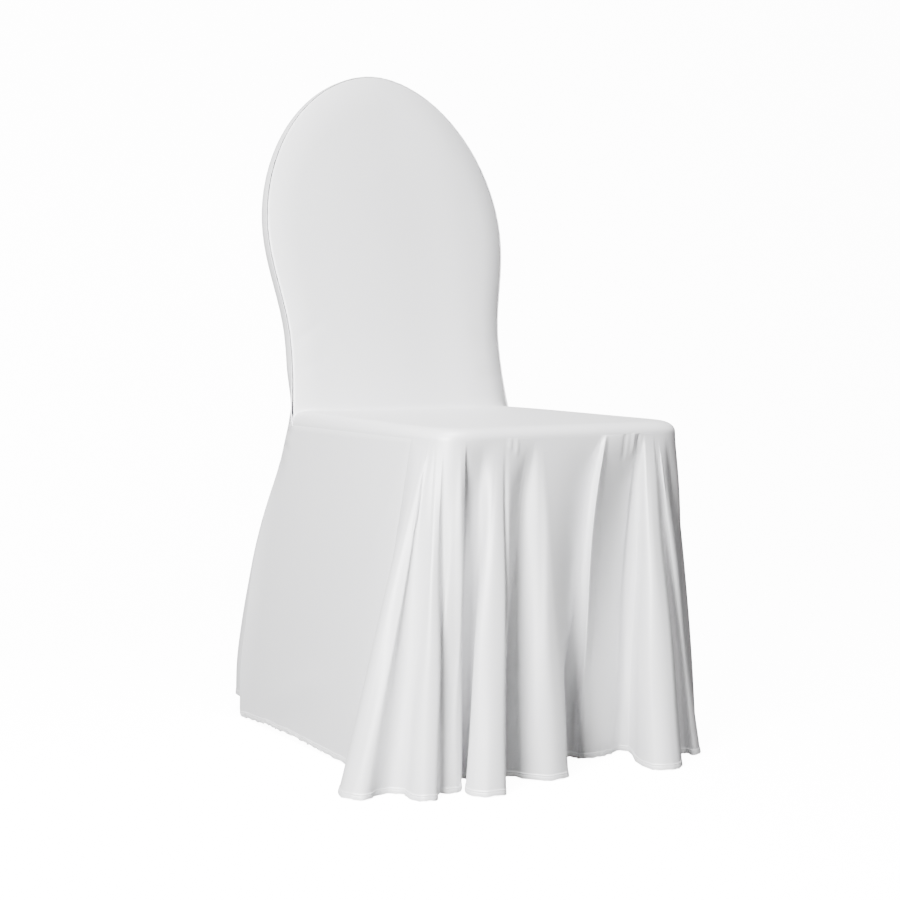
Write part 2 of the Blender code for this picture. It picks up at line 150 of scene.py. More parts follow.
def creaseRise(creases, s, t):
    total = 0.0
    for crease in creases:
        runS, runT = crease.toS - crease.fromS, crease.toT - crease.fromT
        length = math.hypot(runS, runT)
        share = ((s - crease.fromS) * runS + (t - crease.fromT) * runT) / length ** 2
        if 0.0 < share < 1.0:
            off = ((s - crease.fromS) * runT - (t - crease.fromT) * runS) / length
            total += crease.rise * bell(off, crease.width) * ease(2.6 * min(share, 1.0 - share))
    return total


# Cloth sheets from grids of points
def rowLengths(grid):
    lengths = []
    for row in grid:
        line = [0.0]
        for before, after in zip(row, row[1:]):
            line.append(line[-1] + (after - before).length)
        lengths.append(line)
    return lengths


def columnLengths(grid):
    return [list(row) for row in zip(*rowLengths([list(column) for column in zip(*grid)]))]


def waysIn(grid, side):
    # unit ways into the panel; side is +1 or -1 for the way that rows and columns turn
    ways = []
    for i, row in enumerate(grid):
        line = []
        for j in range(len(row)):
            along = row[min(j + 1, len(row) - 1)] - row[max(j - 1, 0)]
            down = grid[min(i + 1, len(grid) - 1)][j] - grid[max(i - 1, 0)][j]
            line.append(along.cross(down).normalized() * side)
        ways.append(line)
    return ways


def pressed(grid, side, depth):
    # the grid with every point moved into the panel by depth(i, j)
    ways = waysIn(grid, side)
    return [[point + ways[i][j] * depth(i, j) for j, point in enumerate(row)] for i, row in enumerate(grid)]


def withSeams(grid, side, tucks, strength=lambda point: 1.0):
    # draws the cloth in along its sewn borders, each with its own depth, and leaves small puckers there
    across, down = rowLengths(grid), columnLengths(grid)

    def depth(i, j):
        reach = {"left": (across[i][j], down[i][j]),
                 "right": (across[i][-1] - across[i][j], down[i][j]),
                 "first": (down[i][j], across[i][j]),
                 "last": (down[-1][j] - down[i][j], across[i][j])}
        depth = 0.0
        for name, tuck in tucks.items():
            distance, along = reach[name]
            pucker = cloth["puckerDepth"] * uneven(along, cloth["puckerLength"])
            depth = max(depth, tuck * strength(grid[i][j]) * bell(distance, cloth["seamWidth"])
                        + pucker * math.exp(-distance / cloth["puckerReach"]), key=abs)
        return depth

    return pressed(grid, side, depth)


def hemHeights(top, rows):
    # heights above a hem, close together where it is turned and stitched
    turned = [0.0, 0.0007, 0.0022, 0.0038, 0.0050, 0.0056, 0.0062, 0.0069, 0.0075, 0.0081, 0.0092, 0.0115]
    first = 0.0155
    return turned + [mix(first, top, i / rows) for i in range(rows + 1)]


def hemDepth(height, along):
    # how far in the cloth lies near its hem
    stand = cloth["hemStand"] * ease((cloth["hemWidth"] - height) / 0.0012 + 0.5)
    dip = cloth["stitchDip"] * bell(height - cloth["stitchHeight"], cloth["stitchWidth"])
    crinkle = cloth["hemCrinkle"] * uneven(along, cloth["crinkleLength"])
    return dip + crinkle * math.exp(-height / cloth["crinkleReach"]) - stand


def hemRise(height, along):
    # how far the hem's edge lifts, 0 at its lowest places
    wave = 0.5 + 0.5 * uneven(along, cloth["waveLength"])
    scallop = 0.5 + 0.5 * uneven(along + 0.3, cloth["scallopLength"])
    return (cloth["hemWave"] * wave * math.exp(-height / cloth["waveReach"])
            + cloth["hemScallop"] * scallop * math.exp(-height / cloth["scallopReach"]))


def placed(point):
    # from the middle of the seat to the frame's place, and never through the floor
    return Vector((point.x + frameShift.x, point.y + frameShift.y, max(0.0, point.z)))


def sewSheet(name, grid, side, material, turnedRows=0):
    # closed thin sheet from its outer grid; the first turnedRows rows are a hem, twice as thick
    ways = waysIn(grid, side)
    across, down = rowLengths(grid), columnLengths(grid)
    widest = max(range(len(grid)), key=lambda i: across[i][-1])
    rows, columns = len(grid), len(grid[0])
    outer, inner, flat = [], [], []
    for i in range(rows):
        thick = cloth["hemThickness"] if i < turnedRows else cloth["thickness"]
        for j in range(columns):
            outer.append(placed(grid[i][j]))
            inner.append(placed(grid[i][j] + ways[i][j] * thick))
            flat.append((across[widest][j], down[i][j]))
    count = rows * columns
    faces = []
    for i in range(rows - 1):
        for j in range(columns - 1):
            a = i * columns + j
            faces.append((a, a + 1, a + columns + 1, a + columns))
            faces.append((a + count + columns, a + count + columns + 1, a + count + 1, a + count))
    border = ([j for j in range(columns - 1)] + [i * columns + columns - 1 for i in range(rows - 1)]
              + [rows * columns - 1 - j for j in range(columns - 1)]
              + [(rows - 1 - i) * columns for i in range(rows - 1)])
    for start, end in zip(border, border[1:] + border[:1]):
        faces.append((start, start + count, end + count, end))
    mesh = bpy.data.meshes.new(name)
    mesh.from_pydata(outer + inner, [], faces)
    knitMap = mesh.uv_layers.new(name="knitMap")
    corners = np.empty(len(mesh.loops), dtype=np.int32)
    mesh.loops.foreach_get("vertex_index", corners)
    knitMap.data.foreach_set("uv", np.array(flat + flat, dtype=np.float32)[corners].ravel())
    turning = bmesh.new()
    turning.from_mesh(mesh)
    bmesh.ops.recalc_face_normals(turning, faces=turning.faces)
    turning.to_mesh(mesh)
    turning.free()
    mesh.shade_smooth()
    mesh.set_sharp_from_angle(angle=cloth["edgeAngle"])
    mesh.materials.append(material)
    sheet = bpy.data.objects.new(name, mesh)
    bpy.context.scene.collection.objects.link(sheet)
    return sheet


def dress(piece, node):
    # ties a finished sheet to the frame
    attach(piece, "root")
    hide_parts(node)
    print("sewn", piece.name, len(piece.data.polygons))


# Materials and node trees
def addNode(tree, kind, settings=None, inputs=None):
    node = tree.nodes.new(kind)
    for name, value in (settings or {}).items():
        setattr(node, name, value)
    for name, value in (inputs or {}).items():
        if isinstance(value, bpy.types.NodeSocket):
            tree.links.new(value, node.inputs[name])
        else:
            node.inputs[name].default_value = value
    return node


def fromHex(code):
    # sRGB hex to a linear colour
    channels = [int(code[i:i + 2], 16) / 255.0 for i in (0, 2, 4)]
    linear = [c / 12.92 if c <= 0.04045 else ((c + 0.055) / 1.055) ** 2.4 for c in channels]
    return (*linear, 1.0)


knit = {
    "colour": "E4E4E5",
    "patchColour": "E0E0E2",
    "patchesPerMetre": 9.0,
    "roughness": 0.50,
    "index": 1.8,             # smooth filaments side by side give back more than one plain surface
    "gloss": 1.0,
    "sheen": 0.10,
    "waleSpacing": 0.0017,    # real wales are 0.7 mm apart; drawn coarser so that a close view shows them
    "courseSpacing": 0.0013,
    "loopHeight": 0.00006,
    "bump": 0.45,
}


def whiteStretchKnit():
    # polyester and elastane jersey, heat set: an even matt white with a soft satin bloom at grazing angles
    material = bpy.data.materials.new("whiteStretchKnit")
    material.use_nodes = True
    tree = material.node_tree
    shader = tree.nodes["Principled BSDF"]
    shader.inputs["Roughness"].default_value = knit["roughness"]
    shader.inputs["IOR"].default_value = knit["index"]
    shader.inputs["Specular IOR Level"].default_value = knit["gloss"]
    shader.inputs["Sheen Weight"].default_value = knit["sheen"]
    shader.inputs["Sheen Roughness"].default_value = 0.45
    flat = addNode(tree, "ShaderNodeUVMap", {"uv_map": "knitMap"})
    parts = addNode(tree, "ShaderNodeSeparateXYZ", None, {0: flat.outputs["UV"]})
    wale = addNode(tree, "ShaderNodeMath", {"operation": "MULTIPLY"},
                   {0: parts.outputs["X"], 1: math.pi / knit["waleSpacing"]})
    rib = addNode(tree, "ShaderNodeMath", {"operation": "SINE"}, {0: wale.outputs[0]})
    ribRound = addNode(tree, "ShaderNodeMath", {"operation": "ABSOLUTE"}, {0: rib.outputs[0]})
    course = addNode(tree, "ShaderNodeMath", {"operation": "MULTIPLY"},
                     {0: parts.outputs["Y"], 1: 2.0 * math.pi / knit["courseSpacing"]})
    slant = addNode(tree, "ShaderNodeMath", {"operation": "MULTIPLY_ADD"},
                    {0: ribRound.outputs[0], 1: 2.2, 2: course.outputs[0]})
    loop = addNode(tree, "ShaderNodeMath", {"operation": "SINE"}, {0: slant.outputs[0]})
    height = addNode(tree, "ShaderNodeMath", {"operation": "MULTIPLY_ADD"},
                     {0: loop.outputs[0], 1: 0.35, 2: ribRound.outputs[0]})
    bump = addNode(tree, "ShaderNodeBump", None,
                   {"Strength": knit["bump"], "Distance": knit["loopHeight"], "Height": height.outputs[0]})
    place = addNode(tree, "ShaderNodeTexCoord")
    patches = addNode(tree, "ShaderNodeTexNoise", None,
                      {"Vector": place.outputs["Object"], "Scale": knit["patchesPerMetre"], "Detail": 2.0})
    tint = addNode(tree, "ShaderNodeMix", {"data_type": "RGBA"},
                   {"Factor": patches.outputs[0], 6: fromHex(knit["colour"]),
                    7: fromHex(knit["patchColour"])})
    tree.links.new(tint.outputs[2], shader.inputs["Base Color"])
    tree.links.new(bump.outputs["Normal"], shader.inputs["Normal"])
    return material


def whiteSewingThread():
    # spun polyester thread: brighter than the knit, with a slight shine where it is pulled tight
    material = bpy.data.materials.new("whiteSewingThread")
    material.use_nodes = True
    tree = material.node_tree
    shader = tree.nodes["Principled BSDF"]
    shader.inputs["Base Color"].default_value = fromHex("F8F8F8")
    shader.inputs["Roughness"].default_value = 0.42
    place = addNode(tree, "ShaderNodeTexCoord")
    twist = addNode(tree, "ShaderNodeTexWave", {"bands_direction": "DIAGONAL"},
                    {"Vector": place.outputs["Object"], "Scale": 900.0})
    bump = addNode(tree, "ShaderNodeBump", None,
                   {"Strength": 0.3, "Distance": 0.00004, "Height": twist.outputs["Fac"]})
    tree.links.new(bump.outputs["Normal"], shader.inputs["Normal"])
    return material


knitMaterial = whiteStretchKnit()
threadMaterial = whiteSewingThread()

# Seat panel, with a rim that rolls down on three sides
seat = {
    "rearHeight": 0.464,
    "frontDrop": 0.006,
    "rimHeight": 0.443,
    "frontY": -0.211,
    "rearY": 0.2068,
    "frontHalf": 0.203,
    "rearHalf": 0.189,
    "rimRadius": 0.018,
    "cornerPower": 12.0,
    "flatShare": 0.90,
    "flatSteps": 34,
    "rollSteps": 18,
    "rimSamples": 420,
    "rearLap": 0.004,         # runs in under the backrest
    "creases": [
        Crease(0.060, 0.150, 0.125, 0.138, 0.006, -0.0012),
        Crease(0.085, 0.112, 0.150, 0.120, 0.008, -0.0010),
        Crease(-0.150, 0.186, -0.172, 0.106, 0.006, -0.0009),
        Crease(-0.182, 0.200, -0.118, 0.162, 0.006, 0.0012),
    ],
}

seatLow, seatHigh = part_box("seat")
frameShift = Vector(((seatLow.x + seatHigh.x) / 2.0, seatLow.y - seat["frontY"], 0.0))


def seatTop(y):
    share = (seat["rearY"] - y) / (seat["rearY"] - seat["frontY"])
    return seat["rearHeight"] - seat["frontDrop"] * ease(share)


def seatPlan(p, q):
    half = mix(seat["rearHalf"], seat["frontHalf"], q)
    return Vector((p * half, mix(seat["rearY"], seat["frontY"], q), 0.0))


def seatPoint(a, b):
    # point of the panel for shares a across and b from the rear
    least = 0.0003
    ring = max(abs(a), b, least)
    power = seat["cornerPower"]
    corner = ring / (abs(a) ** power + b ** power) ** (1.0 / power) if ring > least else 1.0
    unitP, unitQ = a / ring * corner, b / ring * corner
    roll = max(0.0, (ring - seat["flatShare"]) / (1.0 - seat["flatShare"])) * math.pi / 2.0
    inset = seat["rimRadius"] * (1.0 - math.sin(roll))
    inside = min(1.0, ring / seat["flatShare"])
    depth = seat["rearY"] - seat["frontY"]
    point = seatPlan(unitP * inside * (1.0 - inset / seat["frontHalf"]),
                     unitQ * inside * (1.0 - inset / depth))
    point.z = mix(seat["rimHeight"], seatTop(point.y), math.cos(roll))
    return point


def seatPanel():
    flatSteps, rollSteps = seat["flatSteps"], seat["rollSteps"]
    shares = [seat["flatShare"] * math.sin(math.pi / 2.0 * i / flatSteps) for i in range(flatSteps)]
    shares += [mix(seat["flatShare"], 1.0, i / rollSteps) for i in range(rollSteps + 1)]
    across = [-share for share in reversed(shares[1:])] + shares
    grid = [[seatPoint(a, b) for a in across] for b in shares]
    grid = pressed(grid, 1, lambda i, j: -creaseRise(seat["creases"], grid[i][j].x, grid[i][j].y))
    under = [point + Vector((0.0, seat["rearLap"], 0.0)) for point in grid[0]]
    panel = sewSheet("seatPanel", [under] + grid, 1, knitMaterial)
    dress(panel, "seat")


def rimOutline():
    samples = seat["rimSamples"]
    side = [i / samples for i in range(samples)]
    left = [seatPoint(-1.0, share) for share in side]
    front = [seatPoint(2.0 * share - 1.0, 1.0) for share in side]
    right = [seatPoint(1.0, 1.0 - share) for share in side]
    return left + front + right + [seatPoint(1.0, 0.0)]


rim = rimOutline()
rimLengths = rowLengths([rim])[0]
rimLengths = [length - rimLengths[-1] / 2.0 for length in rimLengths]


def rimAt(length):
    i = int(np.searchsorted(rimLengths, length)) - 1
    i = min(max(i, 0), len(rim) - 2)
    share = (length - rimLengths[i]) / (rimLengths[i + 1] - rimLengths[i])
    return rim[i].lerp(rim[i + 1], min(1.0, max(0.0, share)))


def rimX(y):
    for i in range(len(rim) - 1):
        if rim[i + 1].y <= y:
            return -mix(rim[i].x, rim[i + 1].x, max(0.0, (rim[i].y - y) / (rim[i].y - rim[i + 1].y)))
    return seat["frontHalf"]


# Backrest pocket: front panel, narrow band round its edge, and the upper part of the rear panel
pocket = {
    "planeY": 0.2010,
    "slope": 0.168,
    "top": 0.9645,
    "bulgeHeight": 0.727,
    "bulgeHalf": 0.2032,
    "waistHeight": 0.560,
    "waistHalf": 0.1815,
    "footHalf": 0.188,
    "footPower": 2.2,
    "topPower": 1.9,
    "lastAngle": math.radians(89.3),
    "crown": 0.008,           # swell of the front panel
    "softRoll": 0.0068,       # wide soft turn towards the edge
    "softRollStart": 0.78,
    "rightSwell": 0.006,      # the padding is fuller on the right, before it turns away
    "rightSwellReach": 0.12,
    "grooveLoss": 0.75,       # share of the seam groove that is gone at the top
    "grooveFade": 0.80,       # height where it begins to go
    "grooveFadeLength": 0.09,
    "edgeRadius": 0.0016,     # small turn at the seam
    "footRadius": 0.009,      # where the cloth bends from the seat up to the backrest
    "footClearance": -0.0004, # its lowest edge is sewn into the seat
    "footBlend": 0.492,       # above this height the foot's curve no longer shows
    "footDepth": 0.028,
    "bandWidth": 0.0225,
    "bandCrown": 0.0022,
    "rearInset": 0.004,
    "footInset": 0.011,
    "footInsetTop": 0.530,
    "rearCrown": 0.004,
    "frontSteps": (56, 56),
    "frontColumns": 72,
    "bandSteps": (44, 60),
    "bandStrips": 20,
    "creases": [
        Crease(-0.185, 0.560, -0.120, 0.600, 0.007, -0.0009),
        Crease(-0.186, 0.520, -0.110, 0.548, 0.009, -0.0008),
        Crease(0.186, 0.545, 0.115, 0.585, 0.008, -0.0010),
        Crease(0.187, 0.505, 0.120, 0.520, 0.007, -0.0009),
        Crease(0.168, 0.484, 0.050, 0.474, 0.004, -0.0008),
        Crease(-0.185, 0.490, -0.100, 0.478, 0.004, 0.0007),
    ],
}
seamBack = pocket["softRoll"] + pocket["edgeRadius"]


def pocketHalf(z):
    if z >= pocket["waistHeight"]:
        share = (z - pocket["waistHeight"]) / (pocket["bulgeHeight"] - pocket["waistHeight"])
        return mix(pocket["waistHalf"], pocket["bulgeHalf"], (1.0 - math.cos(math.pi * share)) / 2.0)
    share = (pocket["waistHeight"] - z) / (pocket["waistHeight"] - seat["rearHeight"])
    return mix(pocket["waistHalf"], pocket["footHalf"], min(1.0, share) ** pocket["footPower"])


def pocketOutline(lowSteps, highSteps):
    # right half of the outline from the seat to the top, as (half width, height)
    rise = pocket["bulgeHeight"] - seat["rearHeight"]
    low = [seat["rearHeight"] + rise * i / lowSteps for i in range(lowSteps)]
    outline = [(pocketHalf(z), z) for z in low]
    power = 2.0 / pocket["topPower"]
    dome = pocket["top"] - pocket["bulgeHeight"]
    for i in range(highSteps + 1):
        angle = pocket["lastAngle"] * i / highSteps
        outline.append((pocket["bulgeHalf"] * math.cos(angle) ** power,
                        pocket["bulgeHeight"] + dome * math.sin(angle) ** power))
    return outline


def pocketPlane(z):
    return pocket["planeY"] + pocket["slope"] * (z - seat["rearHeight"])


def edgeShare(x, z):
    # 0 in the middle of the backrest and 1 on its outline
    if z <= pocket["bulgeHeight"]:
        return abs(x) / pocketHalf(z)
    rise = (z - pocket["bulgeHeight"]) / (pocket["top"] - pocket["bulgeHeight"])
    power = pocket["topPower"]
    return ((abs(x) / pocket["bulgeHalf"]) ** power + rise ** power) ** (1.0 / power)


def frontPanelY(x, z):
    share = min(1.0, edgeShare(x, z))
    turn = max(0.0, (share - pocket["softRollStart"]) / (1.0 - pocket["softRollStart"]))
    radius = pocket["edgeRadius"]
    near = min(radius, (1.0 - share) * pocket["bulgeHalf"])
    small = radius - math.sqrt(radius ** 2 - (radius - near) ** 2)
    footRadius = pocket["footRadius"]
    low = min(footRadius, max(0.0, z - seat["rearHeight"] - pocket["footClearance"]))
    foot = footRadius - math.sqrt(footRadius ** 2 - (footRadius - low) ** 2)
    fuller = pocket["rightSwell"] * ease(x / pocket["rightSwellReach"])
    swell = (pocket["crown"] + 4.0 * fuller * share * share) * (1.0 - share * share)
    return pocketPlane(z) - swell + pocket["softRoll"] * turn * turn + small - foot * (1.0 - turn)


def rimTop(x):
    # height of the seat's rolled edge at its rear end
    past = (abs(x) - seat["rearHalf"]) / seat["rimRadius"] + 1.0
    return seat["rearHeight"] if past <= 0.0 else mix(
        seat["rimHeight"], seat["rearHeight"], math.sqrt(max(0.0, 1.0 - past * past)))


def grooveShare(point):
    # the groove beside the band grows shallow round the top
    return 1.0 - pocket["grooveLoss"] * ease((point.z - pocket["grooveFade"]) / pocket["grooveFadeLength"])


def frontPanel():
    base = seat["rearHeight"] + pocket["footClearance"]
    foot = [(pocketHalf(base + rise), base + rise) for rise in (0.0, 0.0006, 0.0014, 0.0024, 0.0036, 0.0060)]
    outline = foot + [pair for pair in pocketOutline(*pocket["frontSteps"]) if pair[1] > foot[-1][1] + 0.001]
    columns = pocket["frontColumns"]
    across = [math.sin(math.pi / 2.0 * (2.0 * j / columns - 1.0)) for j in range(columns + 1)]
    grid = []
    for half, z in outline:
        row = []
        for share in across:
            x = half * share
            drop = (seat["rearHeight"] - rimTop(x)) * ease((pocket["footBlend"] - z) / pocket["footDepth"])
            row.append(Vector((x, frontPanelY(x, z) - pocket["slope"] * drop, z - drop)))
        grid.append(row)
    grid = pressed(grid, -1, lambda i, j: -creaseRise(pocket["creases"], grid[i][j].x, grid[i][j].z))
    grid = withSeams(grid, -1, dict.fromkeys(("left", "right"), cloth["seamGroove"]), grooveShare)
    panel = sewSheet("pocketFront", grid, -1, knitMaterial)
    dress(panel, "back_front")


def rearInset(z):
    rise = (z - seat["rearHeight"]) / (pocket["footInsetTop"] - seat["rearHeight"])
    return mix(pocket["footInset"], pocket["rearInset"], ease(rise))


def bandLine():
    # outline from the left foot over the top to the right foot, with the ways in
    right = [(pocket["footHalf"], seat["rimHeight"] + 0.0004)] + pocketOutline(*pocket["bandSteps"])
    line = [(-half, z) for half, z in right] + list(reversed(right))
    ways = []
    for k in range(len(line)):
        start, end = line[max(k - 1, 0)], line[min(k + 1, len(line) - 1)]
        ways.append(Vector((end[1] - start[1], 0.0, start[0] - end[0])).normalized())
    return line, ways


def bandFrontY(z):
    return pocketPlane(z) + seamBack


def edgeBand():
    line, ways = bandLine()
    strips = pocket["bandStrips"]
    lap = cloth["seamLap"] / pocket["bandWidth"]
    grid = []
    for k in range(strips + 1):
        share = mix(-lap, 1.0 + lap, k / strips)
        row = []
        for (x, z), way in zip(line, ways):
            point = Vector((x, 0.0, z)) + way * (rearInset(z) * share)
            arc = 4.0 * max(0.0, share * (1.0 - share))
            point -= way * (pocket["bandCrown"] * arc * ease(pocketReach(z)))
            point.y = bandFrontY(point.z) + pocket["bandWidth"] * share
            row.append(point)
        grid.append(row)
    grid = withSeams(grid, -1, {"first": -cloth["seamLip"], "last": cloth["seamUnder"]})
    band = sewSheet("pocketBand", grid, -1, knitMaterial)
    dress(band, "back_band")


def pocketReach(z):
    # 0 at the seat and 1 a hand's breadth above it
    return (z - seat["rimHeight"]) / 0.09


def underRim(row, ways):
    # the strip of a skirt panel that is sewn in behind the seat's rolled edge
    lap = Vector((0.0, 0.0, cloth["seamLap"]))
    return [point + lap + way * cloth["thickness"] * 1.2 for point, way in zip(row, ways)]


# Side panels, pulled flat and wrapped a little round the rear corners
sides = {
    "seamTopY": -0.140,
    "seamHemY": -0.050,
    "hemFrontX": 0.2225,
    "hemRearX": 0.2170,
    "wrap": 0.040,
    "hemCorner": 0.014,
    "arch": 0.006,            # how far the hem lifts between its ends
    "archRearward": 1.5,
    "archFade": 12.0,
    "rows": 62,
    "columns": 64,
    "creases": [
        Crease(0.262, 0.437, 0.186, 0.431, 0.0026, -0.0018),
        Crease(0.258, 0.421, 0.200, 0.406, 0.0035, -0.0012),
        Crease(0.258, 0.430, 0.192, 0.419, 0.0026, 0.0012),
        Crease(0.262, 0.408, 0.220, 0.376, 0.0050, -0.0009),
        Crease(-0.150, 0.440, -0.020, 0.250, 0.0140, 0.0012),
        Crease(-0.120, 0.300, -0.030, 0.060, 0.0120, -0.0010),
        Crease(0.020, 0.120, 0.250, 0.030, 0.0200, 0.0010),
    ],
}

SideEnd = namedtuple("SideEnd", "height x y")
sideEnds = [
    SideEnd(0.000, 0.2170, 0.330),
    SideEnd(0.060, 0.2155, 0.330),
    SideEnd(0.150, 0.2115, 0.315),
    SideEnd(0.235, 0.2060, 0.301),
    SideEnd(0.320, 0.1970, 0.274),
    SideEnd(0.390, 0.1855, 0.249),
    SideEnd(0.443, 0.1800, 0.233),
]


def sidePanel(name, node, side):
    top = seat["rimHeight"] - cloth["rimGap"]
    columns = sides["columns"]
    grid = []
    for height in hemHeights(top, sides["rows"]):
        fall = 1.0 - height / top
        start = mix(sides["seamTopY"], sides["seamHemY"], fall) - 0.0015
        endX = readRows(sideEnds, "x", height)
        endY = readRows(sideEnds, "y", height)
        radius = sides["hemCorner"]
        if height < radius:
            endY -= radius - math.sqrt(radius ** 2 - (radius - height) ** 2)
        row = []
        for j in range(columns + 1):
            share = j / columns
            y = mix(start, endY, share)
            plain = mix(rimX(mix(sides["seamTopY"], seat["rearY"], share)),
                        mix(sides["hemFrontX"], sides["hemRearX"], share), fall)
            bend = max(0.0, (y - endY + sides["wrap"]) / sides["wrap"])
            along = y * (1.0 if side < 0 else 1.13)
            arch = sides["arch"] * math.sin(math.pi * share ** sides["archRearward"])
            z = height + hemRise(height, along) + arch * fall ** sides["archFade"]
            row.append(Vector((side * mix(plain, endX, bend * bend), y, z)))
        grid.append(row)
    heights = hemHeights(top, sides["rows"])
    grid = pressed(grid, -side, lambda i, j: hemDepth(heights[i], grid[i][j].y)
                   - creaseRise(sides["creases"], grid[i][j].y, grid[i][j].z))
    grid = withSeams(grid, -side, {"left": cloth["seamTuck"]})
    grid.append(underRim(grid[-1], waysIn(grid, -side)[-1]))
    panel = sewSheet(name, grid, -side, knitMaterial, turnedRows=cloth["turnedRows"])
    dress(panel, node)
    return hemLine(grid, -side)


# Rear panel, from the round top down to its flared hem
rear = {
    "hemHeight": 0.025,
    "squareness": 5.0,
    "columns": 110,
    "rows": 56,
    "creases": [
        Crease(-0.150, 0.470, -0.100, 0.060, 0.016, -0.0030),
        Crease(-0.055, 0.460, -0.040, 0.040, 0.014, 0.0026),
        Crease(0.030, 0.480, 0.022, 0.060, 0.015, -0.0026),
        Crease(0.120, 0.470, 0.090, 0.040, 0.014, 0.0028),
        Crease(0.165, 0.450, 0.150, 0.080, 0.012, -0.0022),
    ],
}

RearRow = namedtuple("RearRow", "height tuck lap middleY square")
rearRows = [
    RearRow(0.025, 0.0100, -0.0040, 0.4010, 1.0),
    RearRow(0.060, 0.0085, -0.0050, 0.3970, 1.0),
    RearRow(0.150, 0.0055, 0.0030, 0.3780, 0.9),
    RearRow(0.235, 0.0025, 0.0030, 0.3485, 0.7),
    RearRow(0.320, 0.0000, 0.0028, 0.3070, 0.4),
    RearRow(0.390, 0.0000, 0.0028, 0.2690, 0.2),
    RearRow(0.443, 0.0000, 0.0028, 0.2405, 0.0),
]


def rearLine(half, edgeY, middleY, square, z):
    row = []
    power = 2.0 / rear["squareness"]
    for j in range(rear["columns"] + 1):
        across = 2.0 * j / rear["columns"] - 1.0
        plain = Vector((half * across, mix(edgeY, middleY, 1.0 - across * across), z))
        turn = math.pi / 2.0 * (1.0 - abs(across))
        boxed = Vector((math.copysign(half * max(0.0, math.cos(turn)) ** power, across),
                        mix(edgeY, middleY, math.sin(turn) ** power), z))
        row.append(plain.lerp(boxed, square))
    return row


def rearPanel():
    grid = []
    base = rear["hemHeight"]
    heights = [base + height for height in hemHeights(seat["rimHeight"] - base, rear["rows"])]
    for z in heights:
        edgeX = readRows(sideEnds, "x", z) - readRows(rearRows, "tuck", z)
        edgeY = readRows(sideEnds, "y", z) + readRows(rearRows, "lap", z)
        middleY = readRows(rearRows, "middleY", z)
        grid.append(rearLine(edgeX, edgeY, middleY, readRows(rearRows, "square", z), z))
    line, ways = bandLine()
    for (x, z), way in list(zip(line, ways))[2:len(line) // 2]:
        inset = rearInset(z)
        half, height = -x - way.x * inset, z + way.z * inset
        if height > heights[-1] + 0.003:
            edgeY = bandFrontY(height) + pocket["bandWidth"] + 0.0006
            crown = pocket["rearCrown"] * min(1.0, half / pocket["bulgeHalf"])
            grid.append(rearLine(half, edgeY, edgeY + crown, 0.0, height))
    for row in grid:
        for point in row:
            point.z += hemRise(point.z - base, point.x + 0.4)
    grid = pressed(grid, 1, lambda i, j: hemDepth(grid[i][0].z - base, grid[i][j].x)
                   - creaseRise(rear["creases"], grid[i][j].x, grid[i][j].z))
    grid = withSeams(grid, 1, dict.fromkeys(("left", "right"), cloth["seamTuck"]))
    panel = sewSheet("rearPanel", grid, 1, knitMaterial, turnedRows=cloth["turnedRows"])
    dress(panel, "back_rear")
    return hemLine(grid, 1)


# Front drape: a fold (+1) or the hollow between two folds (-1) on each row. edge is its place along the
# rim from the front centre, x and y its place at the hem, halfEdge and half its half widths there, face
# the way it looks in degrees from the front, swell how far it stands out at mid height.
Turn = namedtuple("Turn", "kind edge halfEdge x y half face swell")
turns = [
    Turn(+1, -0.219, 0.004, -0.294, -0.165, 0.013, -47, 0.000),
    Turn(-1, -0.208, 0.004, -0.243, -0.160, 0.014, -28, 0.000),
    Turn(+1, -0.197, 0.004, -0.225, -0.214, 0.014, -35, 0.000),
    Turn(-1, -0.182, 0.007, -0.190, -0.196, 0.004, 0, 0.000),
    Turn(+1, -0.166, 0.004, -0.172, -0.203, 0.008, 0, 0.000),
    Turn(-1, -0.148, 0.011, -0.134, -0.146, 0.004, 0, 0.000),
    Turn(+1, -0.114, 0.006, -0.149, -0.241, 0.019, -30, 0.000),
    Turn(-1, -0.064, 0.005, -0.088, -0.166, 0.008, 0, 0.000),
    Turn(+1, -0.047, 0.005, -0.034, -0.222, 0.020, -15, 0.000),
    Turn(-1, 0.043, 0.004, 0.020, -0.143, 0.008, 20, 0.000),
    Turn(+1, 0.057, 0.004, 0.062, -0.150, 0.010, -52, 0.036),
    Turn(-1, 0.113, 0.005, 0.122, -0.147, 0.010, 20, -0.008),
    Turn(+1, 0.128, 0.006, 0.122, -0.262, 0.018, -22, 0.000),
    Turn(-1, 0.140, 0.003, 0.195, -0.206, 0.006, 0, 0.000),
    Turn(+1, 0.150, 0.004, 0.221, -0.214, 0.018, 46, 0.000),
    Turn(-1, 0.163, 0.004, 0.236, -0.160, 0.008, 30, 0.000),
    Turn(+1, 0.216, 0.006, 0.290, -0.126, 0.014, 50, 0.006),
]

